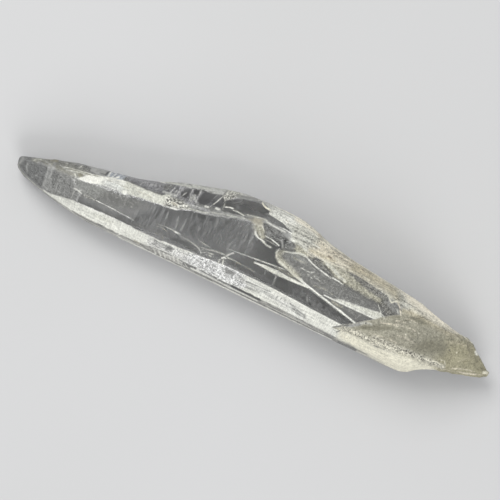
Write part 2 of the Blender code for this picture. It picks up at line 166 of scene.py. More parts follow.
# Where each finish lies, seen from above: (finish, softness of its edge, outline), in mm
PATCHES = (
    ("lined", 1.5, ((11, 7.6), (27, 9.8), (39, 12.3), (53, 16.2), (54, 12), (53, 8), (45, 6.6),
     (42, 3.8), (12, 2.8))),
    # Partly painted shade: the lower right edge of this haze follows a shadow edge, darker beyond
    # it
    ("hazy", 1.8, ((11, 7.6), (27, 9.8), (31, 9), (27, 6.2), (23.5, 4.9), (15, 4.6), (14, 3),
     (12, 3))),
    ("ruled", 1.6, ((41, 7.2), (41.8, 12.6), (47, 14.6), (51.5, 15.8), (54.2, 11), (53.6, 8.6),
     (50, 7.6))),
    ("misty", 1.8, ((12, 8), (20, 8.9), (20, 7), (17.5, 5.3), (14.5, 5.3))),
    ("hazy", 0.9, ((59.6, 12.2), (62.9, 10.1), (69, 8.3), (80.2, 6.1), (82.5, 7.3), (85.6, 9.8),
     (83.5, 11.5), (75, 12.1), (69, 12.9), (66, 13.8), (61, 13.1))),
    ("crazed", 0.8, ((32, 4), (35, 6), (44, 6.6), (52, 6.6), (62, 5.8), (62, 4.5), (44, 3.6))),
    ("clear", 0.4, ((36.5, 4.2), (38, 5.3), (41.5, 5.7), (43.4, 5.2), (44, 4.7), (42, 4.2))),
    ("crazed", 1, ((71, 4.8), (72, 6.2), (80, 5.4), (79, 4.3))),
    ("mottled", 0.9, ((64.5, 7.7), (66.5, 7.8), (72, 6.7), (72.5, 5.2), (70, 4.7), (65.5, 5))),
    ("misty", 0.6, ((61.4, 12.5), (62.4, 13.4), (64, 13.8), (66.2, 13.4), (66.4, 12.6),
     (64, 12.4))),
    ("clear", 0.3, ((50.6, 5.1), (50.8, 6.2), (56, 6), (63, 5.6), (63, 4.9), (55, 5.1))),
    ("veil", 0.5, ((61.8, 15.5), (62.3, 14.3), (63.4, 13.6), (65.4, 13.9), (67, 14.5),
     (66, 15.4))),
    ("veil", 0.7, ((51.7, 15.8), (53.2, 13.6), (54.8, 13.3), (55.6, 13.6), (54.8, 15),
     (53.6, 16.2))),
    ("tip", 0.9, ((-2, 0), (13.2, 0.5), (15.4, 3.2), (15, 5.2), (13.4, 6.4), (12, 9.4), (-2, 9))),
    ("tip_root", 1.2, ((9, 1), (16.2, 2.6), (16, 5), (13.8, 6.6), (12.8, 8.4), (8.8, 8.4),
     (8.6, 5))),
    ("edge", 0.4, ((3, 7.8), (7.3, 8.3), (10.5, 9), (13.6, 9.4), (15, 10), (14.5, 13), (12, 12),
     (3, 9))),
    ("pale", 0.4, ((14.8, 10.2), (16, 10.2), (18, 10.4), (19.3, 10.8), (19.5, 13), (14, 12.5))),
    ("olive", 0.3, ((5.2, 8.5), (8, 8.9), (8, 9.8), (5, 9))),
    ("grey", 0.3, ((12.6, 11.2), (13.2, 10.7), (14, 10.4), (15.4, 10.1), (15, 10.9),
     (13.8, 11.5))),
    ("ashen", 0.3, ((11.8, 9.8), (13.3, 10), (13.2, 10.6), (12.6, 10.9), (11.8, 10.5))),
    ("tip_ridge", 0.7, ((2.9, 7.2), (4.6, 8.1), (13.6, 9.6), (15.6, 9.8), (15, 8.6), (13.8, 7.7),
     (7, 7.4), (4.5, 7.6), (3.4, 6.9))),
    ("olive", 0.2, ((13.4, 8.5), (14, 8.1), (14.7, 8.8), (13.7, 9.1))),
    ("strip", 0.25, ((10, -2), (98, -2), (90, 0.4), (85, 0.6), (80, 0.9), *reversed(BAND_FOOT),
     (7.5, 2.2), (4, 2.4), (4, -2))),
    # Lower band: white partly from frosting and partly painted light, for the light its tilted face
    # refracts and reflects
    ("band", 0.15, ((8, 2.25), (10, 1.8), *BAND_FOOT, (81, 1), (81, 4), (77, 4.15), (70, 4.4),
     (65, 4.65), (60, 4.8), (56, 4.75), (50, 4.65), (47, 4.35), (43, 4), (40, 3.75), (35, 3.4),
     (30, 3.4), (25, 3.5), (20, 3.3), (15, 3.05), (12, 2.65), (10, 2.3))),
    ("dapple", 1, ((33.5, 1.5), (43, 1.5), (43, 3.6), (35, 3), (33, 2.6))),
    ("netted", 1.2, ((42.5, 1.2), (55, 1.2), (56, 3.4), (54, 5.4), (42.5, 5.4))),
    ("streaked", 1.1, ((56, 2.6), (62, 2.8), (69.6, 1.4), (71, 1.6), (70, 2.8), (66, 3.5),
     (56, 3.8), (54, 3.4))),
    ("ashen", 0.6, ((50.6, 4.2), (50.8, 3.3), (52.6, 3.3), (52.8, 4.1))),
    ("ashen", 0.3, ((37.1, 3.2), (37.5, 2.2), (38.7, 2.3), (38.9, 3.3))),
    ("snow", 0.2, ((13.6, 7.65), (16.5, 8.05), (20.2, 9), (22.5, 9.15), (24.6, 9.2), (24.6, 11.8),
     (22, 11.7), (20, 10.9), (18, 10.3), (15.4, 9.4))),
    ("ridge_grey", 1, ((18.9, 8.5), (25.4, 8.8), (25.4, 10.9), (19.4, 10.9))),
    ("ivory", 0.25, ((23.5, 9.2), (27, 9.75), (30, 10.1), (33.5, 10.7), (33.2, 12.8), (31, 12.2),
     (23.5, 11.8))),
    ("ashen", 0.25, ((33, 10.5), (36, 11.2), (38, 12), (42.2, 12.9), (51.7, 15.9), (51.7, 16.8),
     (48, 16), (45, 15.1), (42, 14.5), (33, 13.2))),
    ("speckled", 0.5, ((32.8, 10.7), (36, 11.3), (38.2, 12.2), (38, 13.1), (35, 12.8),
     (33, 13.2))),
    ("wispy", 0.25, ((36.6, 13), (42.2, 13.4), (42, 13.7), (39.5, 13.5), (37, 13.6))),
    ("fan", 0.25, ((19.1, 10.9), (20.5, 11), (22.6, 11.8), (23.3, 13.4), (19, 13))),
    ("smoky", 0.3, ((23.1, 12), (28, 12.1), (31.5, 12.6), (37, 13.8), (44.5, 15.3), (44, 17.6),
     (38, 16.7), (31, 15.4), (31, 16), (23.2, 14))),
    ("wispy", 0.5, ((33.4, 13.4), (39.2, 14), (39.2, 17), (38.5, 17), (34.4, 15.6))),
    ("grey", 0.22, ((31, 13.8), (31.4, 15.1), (32.5, 15.6), (33.3, 15.6), (32.4, 13.9))),
    ("slate", 0.22, ((35, 14.6), (35.4, 15.8), (36.3, 16.3), (36.9, 16.4), (36.8, 14),
     (35.3, 13.9))),
    ("slate", 0.15, ((37.3, 16.6), (37.5, 15.5), (38, 15.6), (38.5, 15.5), (38.6, 17))),
    ("slate", 0.18, ((39.1, 15.5), (39.3, 16.6), (40.2, 17.4), (41.3, 17.5), (41.9, 16.8),
     (41.6, 15.4), (40.9, 14.4), (39.9, 14.2), (39.2, 14.6))),
    ("slate", 0.25, ((41.7, 16), (41.4, 17.5), (42.6, 18.2), (44, 18), (44.7, 16.3), (44.2, 15.4),
     (43, 15.1), (42.3, 15.1))),
    ("rim", 0.2, ((30.5, 15.2), (34, 15.9), (36.5, 16.5), (39, 17.2), (41.5, 17.6), (43.4, 18.1),
     (44.4, 17.4), (46.2, 18.9), (47.2, 19.4), (48.5, 19.6), (51.4, 20.6), (52.5, 20.3),
     (54.2, 19.6), (55.2, 22), (30.5, 17))),
    ("speckled", 0.3, ((43.6, 18), (44.4, 17.3), (46.1, 18.9), (47.4, 19.7), (46.8, 20.6),
     (43.8, 20))),
    ("slate", 0.3, ((45.3, 17.8), (46.3, 18.8), (47.8, 19.3), (47.6, 18.3), (46.4, 17.6))),
    ("clear", 0.2, ((44.9, 15.2), (47, 15.4), (49.5, 15.9), (46.6, 16.2), (45.2, 15.8))),
    ("tan", 0.4, ((50.9, 15.9), (51.8, 16.9), (53.9, 17.2), (54, 15.9), (52.3, 15.4))),
    ("pale", 0.3, ((53.4, 16.6), (57.5, 16.45), (58.6, 16), (60.2, 15.6), (60.2, 17.3),
     (54.2, 17.4))),
    ("crazed", 0.4, ((53.6, 18.7), (54.3, 18.8), (57, 18.3), (58.6, 17.9), (57, 17.5),
     (54.3, 17.5))),
    ("frost", 0.2, ((54.9, 22), (54.6, 20.6), (54.1, 19.3), (54.2, 18.8), (57, 18.4), (60.4, 17.6),
     (60.2, 17.2), (60, 16.5), (60.3, 15.7), (61.6, 15.5), (63, 15.5), (64.6, 14.8), (66.2, 14.4),
     (67.6, 14.7), (70.5, 14.6), (75, 15), (78, 14.9), (84, 13.9), (85.2, 13.3), (86.4, 13.4),
     (88.3, 12.8), (92, 13), (100, 12.5), (104, 12.9), (104, 16), (92, 18), (62, 22.5))),
    # Paler frost over the tilted facet: painted light against its shade
    ("hoar", 1.2, ((54, 22), (54.2, 18.6), (58, 18.2), (60, 19), (61, 22))),
    ("buff", 1.6, ((65.5, 14.8), (66.5, 18.8), (82, 17), (82, 15))),
    ("sand", 1.6, ((74.5, 15), (75, 17.8), (86, 16.4), (87, 14), (80, 15.2))),
    ("crust", 0.9, ((89, 14.7), (86, 17), (104, 14.5), (103, 12.9), (96, 13.6))),
    ("veil", 0.5, ((68.2, 14.4), (70.2, 14.9), (74.8, 15), (77.5, 13.9), (80, 13.3), (83.6, 12.8),
     (84, 11.7), (78, 12), (75, 12.3), (72.6, 12.7))),
    ("lens", 0.25, ((66.4, 13.9), (67.4, 14.3), (68.8, 14), (70, 13.5), (71.6, 13), (71.5, 12.8),
     (69, 13.2), (67.4, 13.5))),
    ("lens", 0.25, ((74.8, 14.9), (76.5, 15.05), (84, 13.8), (85.1, 13.2), (84, 12.9), (82.5, 12.9),
     (80, 13.3), (75.5, 14.6))),
    ("grey", 0.35, ((54.6, 16.3), (57.8, 16.3), (59.4, 15.6), (59, 14.6), (55.6, 14.3),
     (54.9, 15.4))),
    ("grey", 0.3, ((60.4, 15.3), (62, 15.3), (62.5, 14.9), (61.9, 14.1), (60.6, 13.6),
     (59.9, 13.9))),
    ("ivory", 0.16, ((56.6, 8), (57.8, 8.45), (61, 8.6), (67.6, 8.3), (66.5, 7.95), (63.5, 7.7),
     (60.5, 7.65))),
    ("ivory", 0.35, ((74.5, 8.25), (84.2, 8.35), (85.6, 9.2), (84.6, 9.9), (82, 9.5),
     (75.5, 8.8))),
    ("break", 0.12, ((76.9, 2.8), (78.2, 4), (80.8, 5.8), (82.2, 6.9), (84.2, 8.3), (85.6, 9.6),
     (88.4, 11.5), (88, 12.9), (92, 13.1), (100, 12.6), (106, 14), (116, 9), (113, 5), (100, 4),
     (77, 2.7))),
    ("pale", 0.3, ((77.2, 3), (78.4, 4), (82.6, 6.9), (81.6, 5.4), (79.4, 4))),
    ("ochre", 2.2, ((100, -2), (100, 11), (104, 12.6), (115, 14), (115, -2))),
    ("sand", 1.1, ((88.5, 12.4), (90, 13.5), (103, 12.8), (100, 12.3), (92, 12.6))),
    # Painted shadow: the dark olive strip along the diagonal step of the break
    ("olive", 0.45, ((82, 5.4), (84.5, 6.4), (86.5, 7.7), (88.3, 8.5), (88, 7.8), (85.6, 6.3),
     (83.2, 5.3))),
    # Painted shade below the ridge
    ("olive", 0.5, ((90.5, 11.7), (92.5, 12.6), (95, 12.3), (94, 11.7))),
    ("olive", 1.2, ((96.5, 9.5), (98.5, 10.8), (101, 10), (101, 7.6), (98, 6.6), (93.5, 5.8))),
    ("cream", 0.9, ((79, 1.1), (90, 0.2), (92, -2), (98, -2), (101, 4.2), (99.5, 4.6), (88, 3.5),
     (78.2, 3))),
    ("ashen", 0.55, ((84.4, 12.6), (85.2, 13.5), (86.4, 13.6), (88.3, 13), (88.6, 11.4),
     (87.4, 11.2), (86, 11.7))),
    ("lens", 0.8, ((84.2, 11.4), (84.1, 12.3), (84.9, 12.6), (85.6, 11.7), (87.2, 11.1), (86, 9.9),
     (85.3, 10.2))),
)

# Lines and spots of one finish: (finish, half width, softness, then the points of each), in mm
STROKES = (
    # Tip
    ("pale", 0.06, 0.2, ((9.3, 3.8), (9.9, 2.5)), ((10.4, 5.6), (10.2, 4.4), (10.6, 3.2)),
     ((11.3, 5), (11.2, 3.4)), ((12.2, 5.2), (12.4, 3.8))),
    ("pale", 0.24, 0.4, ((6.9, 7.6), (7.8, 2.7))),
    ("pale", 0.26, 0.35, ((7.7, 8.4), (8.2, 4.4), (8.7, 2.6))),
    ("pale", 0.08, 0.2, ((8.6, 5.3), (8.9, 4), (9.3, 2.7))),
    ("pale", 0.05, 0.15, ((9.8, 6.8), (12.2, 6.4))),
    ("pale", 0.3, 0.35, ((0.6, 5.3), (0.9, 6.5))),
    ("pale", 0.12, 0.25, ((2.3, 6), (2.5, 5.2), (3.1, 4.3))),
    ("pale", 0.04, 0.2, ((4.4, 3.4), (5.3, 4.6))),
    ("ivory", 0.06, 0.16, ((0.4, 4.9), (1.5, 3.85), (3, 3.25), (6, 2.45), (8, 2.1))),
    ("ivory", 0.08, 0.15, ((3.2, 7.2), (3.6, 7.7), (4.6, 8))),
    ("rim", 0.05, 0.3, ((5.6, 8.1), (7, 8), (8.2, 7.6))),
    ("rim", 0.05, 0.25, ((9, 8.7), (10.6, 8.5), (12.4, 8.6))),
    # Ridge near the tip
    ("snow", 0.07, 0.12, ((10, 8.8), (12, 9.2), (16, 9.9), (18.4, 10.5)), ((20.2, 11.2),
     (20.6, 12.3))),
    ("ivory", 0.07, 0.12, ((11.5, 8.7), (13.3, 9), (15, 9.35), (16.5, 9.8)), ((12.9, 9.9),
     (13.2, 10.6))),
    ("ivory", 0.14, 0.2, ((12.8, 9.15), (15.2, 9.6))),
    ("olive", 0.05, 0.1, ((11, 8.95), (13.3, 9.25), (15.5, 9.6), (17.5, 10.15))),
    ("ivory", 0.12, 0.15, ((12.7, 8.4), (13.2, 8))),
    ("slate", 0.1, 0.15, ((17.4, 10.95), (18.6, 11.05))),
    ("slate", 0.22, 0.18, ((18.8, 11.1), (19, 12))),
    ("snow", 0.14, 0.15, ((19.4, 11.1), (19.4, 12.4), (20.2, 12.6)), ((19.6, 10.9), (20.8, 11.2),
     (21.5, 11.9))),
    ("smoky", 0.06, 0.12, ((20.7, 11.5), (21.3, 12.7)), ((21.7, 11.9), (22.5, 13)), ((22.4, 11.9),
     (22.9, 12.9))),
    ("band", 0.07, 0.1, ((30.1, 12), (30.3, 11.2), (30.6, 10.3))),
    ("tan", 0.05, 0.12, ((19.8, 10.3), (24.5, 10.6)), ((26.5, 10.9), (28.5, 11.1), (29.8, 11))),
    ("pale", 0.05, 0.15, ((20, 9.3), (23.4, 9.2))),
    ("band", 0.4, 0.15, ((24.2, 9.4), (24.3, 9.5))),
    ("pale", 0.05, 0.15, ((23.4, 9.7), (23.9, 10.1), (24.8, 10.1), (25.4, 9.8))),
    # Upper glassy side
    ("snow", 0.08, 0.12, ((28.4, 14.5), (29.2, 14.75), (31, 15.1))),
    ("rim", 0.06, 0.12, ((33, 13.7), (33.2, 14.5), (33.4, 15)), ((33.8, 13.7), (34, 14.8)),
     ((35.5, 13.8), (35.8, 14.6), (36.1, 15.2))),
    ("rim", 0.08, 0.12, ((34.5, 13.8), (34.6, 14.6), (34.9, 15.4)), ((37, 16.5), (37.1, 15),
     (37.7, 13.9))),
    ("ivory", 0.07, 0.14, ((37.9, 13.9), (37.9, 14.8), (38.1, 15.5))),
    ("rim", 0.12, 0.18, ((38.8, 16.9), (38.7, 15.3), (38.9, 14.1))),
    ("rim", 0.25, 0.3, ((37.5, 14.3), (37.8, 15.2), (38.6, 14.5))),
    ("pale", 0.03, 0.12, ((41.9, 15.2), (41.9, 16.4), (42.3, 17.5))),
    ("snow", 0.04, 0.09, ((42.1, 14.7), (42.9, 16.3), (43.6, 18))),
    ("ivory", 0.03, 0.1, ((43.8, 18), (44.6, 16.6), (44.8, 15.2))),
    ("slate", 0.07, 0.1, ((43.5, 18.1), (43.8, 19.3)), ((44.5, 18.6), (44.9, 19.2))),
    ("snow", 0.1, 0.12, ((44.1, 19.2), (44.4, 18.2), (44.7, 17.8))),
    ("snow", 0.2, 0.18, ((41.1, 14.3), (41.7, 14.4)), ((43.4, 14.9), (44.1, 15))),
    ("ivory", 0.05, 0.15, ((31.5, 15.7), (34.5, 17), (38, 18.1), (43.4, 19.6))),
    ("rim", 0.05, 0.2, ((46.4, 18.9), (50, 20.2), (51.4, 20.8))),
    ("ashen", 0.3, 0.3, ((46.4, 19.4), (50.4, 20.6))),
    ("snow", 0.12, 0.12, ((45.1, 16), (45.8, 16.35), (46.6, 16.45))),
    ("cream", 0.17, 0.12, ((51.8, 20.3), (52.4, 19.9), (53, 19.7), (54, 19.6))),
    ("pale", 0.06, 0.15, ((26.4, 12.4), (26.7, 13.1), (27.6, 13.6), (28.4, 13.3))),
    ("wispy", 0.35, 0.5, ((27.6, 13.2), (29.4, 13.5), (30.6, 13.9))),
    ("pale", 0.06, 0.15, ((28.1, 12.4), (28.3, 13.3), (29.4, 13.9)), ((29.4, 12.5), (30.2, 13.2),
     (30.4, 14.2))),
    ("rim", 0.2, 0.22, ((31.6, 13.2), (34.4, 13.6))),
    ("pale", 0.05, 0.12, ((32.1, 13.9), (32.4, 15.3))),
    ("ivory", 0.1, 0.15, ((31, 15.3), (36.5, 16.9), (38.9, 17.7), (40.6, 18.1)), ((46.9, 16.1),
     (47.8, 16.25), (49.4, 16.1)), ((50, 16.6), (53.4, 17.3), (54.3, 17.3))),
    ("slate", 0.05, 0.12, ((35.6, 17.2), (36.4, 17), (36.6, 16.9))),
    # Ridge lumps and strands
    ("ivory", 0.16, 0.18, ((32, 12.3), (32.5, 12.8), (33.4, 13.1))),
    ("slate", 0.1, 0.15, ((31.7, 12.6), (32, 12.9))),
    ("snow", 0.14, 0.12, ((34.5, 10.75), (35.2, 10.95), (35.9, 11))),
    ("snow", 0.16, 0.18, ((36, 11.9), (36.6, 12.3), (37.6, 12.8))),
    ("ivory", 0.09, 0.12, ((37.9, 12.3), (41.5, 12.95), (42.4, 13.3))),
    ("rim", 0.12, 0.2, ((37.6, 13.1), (40.2, 13.5))),
    ("ivory", 0.06, 0.12, ((42.6, 13.6), (45, 14.3), (51, 15.9))),
    ("pale", 0.05, 0.12, ((43, 14.2), (46, 15), (49.5, 15.8))),
    ("clear", 0.45, 0.25, ((40.9, 12), (41.9, 11.9))),
    ("slate", 0.1, 0.35, ((41.4, 4.7), (43.4, 4.8))),
    # Main face: faint upright lines and the crack along it
    ("misty", 0.06, 0.2, ((34.5, 9.6), (34.9, 6.6)), ((36.9, 9.8), (37.4, 7.2)), ((38.7, 10),
     (38.6, 7.4)), ((58.7, 7.6), (58.8, 6.6))),
    ("ashen", 0.07, 0.1, ((34.4, 3.05), (35.6, 2.95), (36.8, 3)), ((34.8, 2.55), (36.4, 2.45),
     (38, 2.6)), ((34.2, 2.1), (35.8, 1.95))),
    ("veil", 0.03, 0.12, ((16.5, 5.1), (19.6, 5.2)), ((43, 7.1), (44.5, 6.9), (46, 6.8))),
    ("snow", 0.05, 0.12, ((37.4, 6.5), (38.6, 6.55)), ((41, 6.1), (43, 5.8), (43.9, 5.5), (44.5, 5),
     (44.8, 4.5))),
    ("veil", 0.03, 0.15, ((34.8, 6.65), (37.4, 6.6)), ((33.4, 5.9), (34.8, 6.1), (36.2, 5.8)),
     ((34, 4.5), (35.8, 4.25)), ((35.9, 3.8), (35.7, 5))),
    ("snow", 0.03, 0.12, ((19.6, 5.2), (21.5, 5.25), (24, 5.15), (25.4, 5))),
    ("rim", 0.03, 0.12, ((25.4, 5), (26.9, 5.05), (28.8, 4.9))),
    ("snow", 0.1, 0.15, ((14.1, 5.5), (14.4, 5.6), (15.9, 5.2))),
    ("rim", 0.03, 0.15, ((12.3, 7.4), (13.3, 7), (13.8, 6.3), (13.9, 5.4)), ((14.2, 5),
     (14.3, 3.4))),
    ("pale", 0.06, 0.15, ((15.6, 4.9), (15.7, 3.5))),
    ("ivory", 0.04, 0.12, ((44, 5.9), (47.5, 6.6), (49.4, 6.8))),
    ("ivory", 0.16, 0.15, ((46.5, 5.2), (46.9, 5.1))),
    ("snow", 0.08, 0.12, ((49.8, 6.6), (50.2, 7.2), (50.9, 7.9))),
    ("snow", 0.14, 0.15, ((49.1, 5.8), (49.5, 6.2), (49.9, 6.1))),
    ("ivory", 0.06, 0.12, ((44.9, 5.1), (45.8, 5.6), (46.9, 5.7)), ((50.2, 6.4), (51.3, 6.5))),
    ("ivory", 0.1, 0.15, ((48.8, 5.4), (48.9, 4.6)), ((49.6, 5.6), (49.8, 4.6))),
    ("veil", 0.06, 0.12, ((51.3, 6.5), (56.8, 6.2)), ((52.4, 6.4), (52.5, 5.4))),
    ("snow", 0.22, 0.3, ((19.1, 10.5), (22, 11.3))),
    ("veil", 0.25, 0.3, ((59.4, 11.8), (59.6, 11), (60.5, 10.4), (62, 10))),
    ("misty", 0.1, 0.18, ((61.2, 9.3), (61.4, 5.2)), ((69.2, 6.8), (69, 6.1), (69.5, 5.6))),
    ("sand", 0.3, 0.45, ((65.4, 15.6), (68, 15.5), (71, 15.65))),
    # White leaf, shell rim and curl, where they reach the main face; the white over the leaf is
    # partly painted light
    ("pale", 0.05, 0.12, ((55.4, 16), (57.4, 15.6), (59.6, 15.7)), ((55.4, 15.2), (57, 14.9),
     (59, 14.6))),
    # Over the white leaf: partly the crack at the surface, partly painted light making up for the
    # light the leaf inside does not get
    ("snow", 0.14, 0.15, ((55.8, 8), (56.8, 8.1), (58, 8.05))),
    ("snow", 0.18, 0.15, ((64.6, 8), (68.4, 8.2))),
    ("snow", 0.07, 0.14, ((55.4, 8.75), (58, 9), (60.5, 9.3), (62.5, 9.45))),
    ("veil", 0.1, 0.2, ((60.6, 9), (62.6, 9), (64.4, 8.8))),
    ("ivory", 0.3, 0.25, ((60.2, 10.8), (61.5, 10.25), (66.6, 8.85))),
    ("ivory", 0.22, 0.3, ((61, 10.9), (64.2, 10))),
    ("band", 0.18, 0.1, ((66.4, 8.85), (73, 7.4), (76, 6.8), (80.6, 5.75))),
    ("ivory", 0.14, 0.18, ((60.4, 12.9), (62, 13.3), (63.7, 14), (65, 13.9))),
    ("snow", 0.12, 0.14, ((65.3, 13.9), (67, 13.2), (68.5, 12.8), (71.8, 12.1))),
    ("band", 0.1, 0.12, ((72.2, 12.3), (73.6, 12.2), (74.9, 11.95))),
    ("ivory", 0.2, 0.35, ((72.4, 13.6), (73.6, 13.1), (75, 12.8))),
    ("band", 0.13, 0.12, ((53.2, 14), (53.6, 13.4), (54.4, 13.1), (55.8, 12.9))),
    ("rim", 0.03, 0.18, ((52.3, 15.4), (52.8, 14.5), (53.4, 13.8)), ((53.2, 15.5), (53.8, 14.6),
     (54.6, 13.8))),
    ("ivory", 0.15, 0.14, ((55.6, 12.8), (56.4, 12.5), (57.5, 12.4))),
    ("pale", 0.16, 0.25, ((59, 14.9), (59.9, 13.5))),
    ("band", 0.08, 0.12, ((55.5, 14.15), (57, 14.05), (59, 13.55))),
    ("grey", 0.05, 0.15, ((52.7, 15.3), (53.3, 14.4), (54, 13.6))),
    ("veil", 0.4, 0.8, ((60.1, 12.6), (59.8, 11.8), (60.5, 11), (65.4, 9.4))),
    ("ivory", 0.05, 0.22, ((59.3, 12.7), (59.1, 12), (59.6, 11.1), (60.7, 10.5), (62, 10.1))),
    ("veil", 0.04, 0.12, ((55.9, 13.45), (57.2, 13.5), (58.7, 13.35))),
    ("ivory", 0.07, 0.12, ((53.7, 15.9), (54.4, 15.4), (54.9, 14.8))),
    ("pale", 0.3, 0.4, ((59.2, 16.7), (60.3, 16.3), (60.7, 15.3))),
    ("band", 0.22, 0.22, ((60.8, 15.85), (61.6, 15.75))),
    # Feather and small marks in the shell
    ("ivory", 0.06, 0.12, ((84.6, 10), (85.5, 9.7), (86, 9.2)), ((83.5, 11.3), (84.7, 10.1)),
     ((65.3, 11.35), (66.3, 11.2)), ((66.8, 11.2), (67.6, 11.35), (68.1, 11.6)), ((67.2, 10.7),
     (68.4, 10.3)), ((68.5, 10.9), (70.2, 10.5))),
    ("band", 0.08, 0.1, ((72.2, 8.2), (84, 8.3))),
    ("rim", 0.05, 0.15, ((77, 8.5), (79.5, 8.6), (84.6, 8.7))),
    ("ivory", 0.18, 0.22, ((80.5, 9.2), (82.4, 9.4), (84.8, 9.4))),
    ("veil", 0.2, 0.25, ((74.4, 7.7), (75.6, 7.5), (76.6, 7.6))),
    ("veil", 0.05, 0.12, ((69.4, 9.1), (70.7, 9.1), (71.6, 9.4), (73.8, 9.1))),
    ("veil", 0.06, 0.2, ((63, 12.6), (64.4, 12.5), (66, 12.7))),
    # Upper right: lips of the dark pockets, rust and dark flecks
    ("band", 0.06, 0.1, ((54.3, 18.8), (57, 18.45), (60.5, 17.9)), ((57.5, 17.3), (61, 17))),
    ("rust", 0.1, 0.12, ((58, 19.15), (58.6, 19)), ((77.2, 16.7), (77.8, 16.6))),
    # Paler frost: painted light against the shade of the tilted facet
    ("hoar", 0.14, 0.2, ((58.8, 17.9), (60.4, 17.6))),
    ("band", 0.12, 0.2, ((62.6, 17.2), (67, 16.9))),
    ("snow", 0.1, 0.15, ((54.4, 17), (56.4, 16.8), (59, 16.7))),
    ("crust", 0.3, 0.5, ((60, 20.3), (63, 20), (66, 19.3))),
    ("ivory", 0.25, 0.35, ((69.8, 14.5), (71.4, 14.1), (72.6, 13.6))),
    ("cream", 0.07, 0.12, ((55, 20.95), (61, 20.7), (64, 20.1), (68.5, 18.6), (75, 17.7), (90, 16),
     (98, 14.4), (106, 12.7)), ((71.5, 14.95), (74, 15.3), (77.5, 15.5), (79.5, 15.3))),
    ("cream", 0.1, 0.18, ((70.8, 16.6), (72.4, 16), (74.5, 15.9))),
    ("cream", 0.09, 0.13, ((84.9, 13.9), (85.3, 13.3), (85.8, 12.95), (86.3, 13.5), (87, 13.7))),
    ("buff", 0.08, 0.13, ((87, 13.6), (87.8, 12.9), (88.8, 11.4))),
    ("slate", 0.05, 0.12, ((86.2, 13), (87.2, 12.9), (87.8, 12.4)), ((62.4, 20.2), (62.8, 20.1)),
     ((63.5, 20), (63.8, 19.9))),
    ("ivory", 0.05, 0.14, ((86.4, 12.5), (87.3, 12.3), (88, 11.7))),
    ("rust", 0.2, 0.2, ((69.5, 16.1), (70.2, 16))),
    ("rust", 0.08, 0.12, ((65.7, 19.5), (66.5, 19.2))),
    ("rust", 0.05, 0.12, ((70, 17.7), (71.4, 17.4))),
    ("tan", 0.25, 0.3, ((34.4, 11.9), (35.4, 11.8))),
    ("tan", 0.15, 0.25, ((30.4, 1), (31.6, 0.9))),
    # Base
    ("frost", 0.14, 0.15, ((81.8, 6.2), (83, 6.8), (83.9, 7))),
    ("gritty", 0.55, 0.45, ((78.8, 3.5), (82, 3.9), (86, 3.8), (90, 4.1), (94, 4.9), (102, 5.3))),
    ("cream", 0.1, 0.12, ((97, 5.2), (98.8, 5.2), (100.3, 5.8), (101.4, 5.5)), ((91.4, 8.2),
     (91.6, 8.2))),
    ("gritty", 0.25, 0.3, ((85.5, 4.9), (91, 5), (93.5, 5.4))),
    ("cream", 0.06, 0.1, ((86.3, 4), (88.5, 4.1), (91.5, 4.5))),
    ("slate", 0.09, 0.12, ((76.9, 2.9), (79.6, 4.7))),
    ("slate", 0.08, 0.1, ((78.1, 2.2), (78.6, 2.8))),
    ("sand", 0.05, 0.12, ((100, 4.3), (103, 5), (110.8, 7.5))),
    ("buff", 0.12, 0.18, ((106, 5.8), (107.4, 6.15), (109.4, 6.9))),
    ("buff", 0.06, 0.14, ((103.5, 5.7), (106.5, 6.9), (109, 7.4))),
    ("snow", 0.26, 0.18, ((107.4, 11.4), (107.8, 11))),
    ("cream", 0.3, 0.2, ((110.9, 8.1), (111.5, 8.3))),
    ("sand", 0.05, 0.25, ((104.3, 12.9), (106, 11.4), (106.4, 9.6), (104.6, 7.8))),
    ("sand", 0.1, 0.3, ((100.6, 10.6), (102.2, 11.4), (104.6, 11.6))),
    ("buff", 0.06, 0.18, ((88.4, 9.9), (89.3, 10.3), (90.4, 10.4)), ((89.9, 11.2), (91.2, 11.5),
     (92.8, 11.4)), ((91, 9.6), (92.2, 9.9), (93.2, 9.7)), ((86.8, 8.6), (88, 9), (89.2, 9))),
    ("cream", 0.07, 0.12, ((101, 6.5), (101.8, 6.7), (102.3, 6.1)), ((91.3, 10.9), (91.4, 10.9)),
     ((92.4, 10.9), (92.6, 10.8)), ((93.9, 9.7), (94.1, 9.6)), ((103.4, 9.4), (103.5, 9.3))),
    # Painted shadow along the diagonal step of the break
    ("olive", 0.3, 0.4, ((82.6, 5.6), (84.8, 6.4), (88, 8.1))),
    ("buff", 0.04, 0.2, ((84.4, 5.1), (86.4, 5.4), (88.4, 5.8), (90.6, 5.7)), ((90, 7.2), (92, 7.6),
     (94.2, 7.3))),
    ("slate", 0.05, 0.1, ((86.4, 3.1), (88.8, 3.3)), ((101.8, 9.3), (101.9, 9.2)), ((87.2, 5.1),
     (87.3, 5))),
    ("olive", 0.15, 0.3, ((90.5, 9), (92, 8.9), (93.6, 8.5))),
    ("olive", 0.12, 0.25, ((86.6, 10), (87.8, 10.5), (89, 11.2))),
    ("buff", 0.06, 0.18, ((85.6, 8.2), (87.2, 8.6), (89, 9.4), (90.4, 9.5))),
    ("olive", 0.1, 0.2, ((88.6, 8.2), (89.8, 8.5), (90.8, 8.4))),
    # Lower band: top lip, arcs and combed lines
    ("pale", 0.2, 0.3, ((44.4, 3.1), (44.9, 3)), ((48, 3.6), (48.8, 3.6))),
    ("band", 0.08, 0.1, ((36, 3.5), (40, 3.75), (43.4, 4.1))),
    ("band", 0.18, 0.14, ((57, 4.45), (60, 4.5), (68, 4.2), (77, 3.95))),
    ("ashen", 0.05, 0.1, ((34.4, 3.1), (35.2, 2.75), (36.2, 2.7), (37, 2.95)), ((34.2, 2.6),
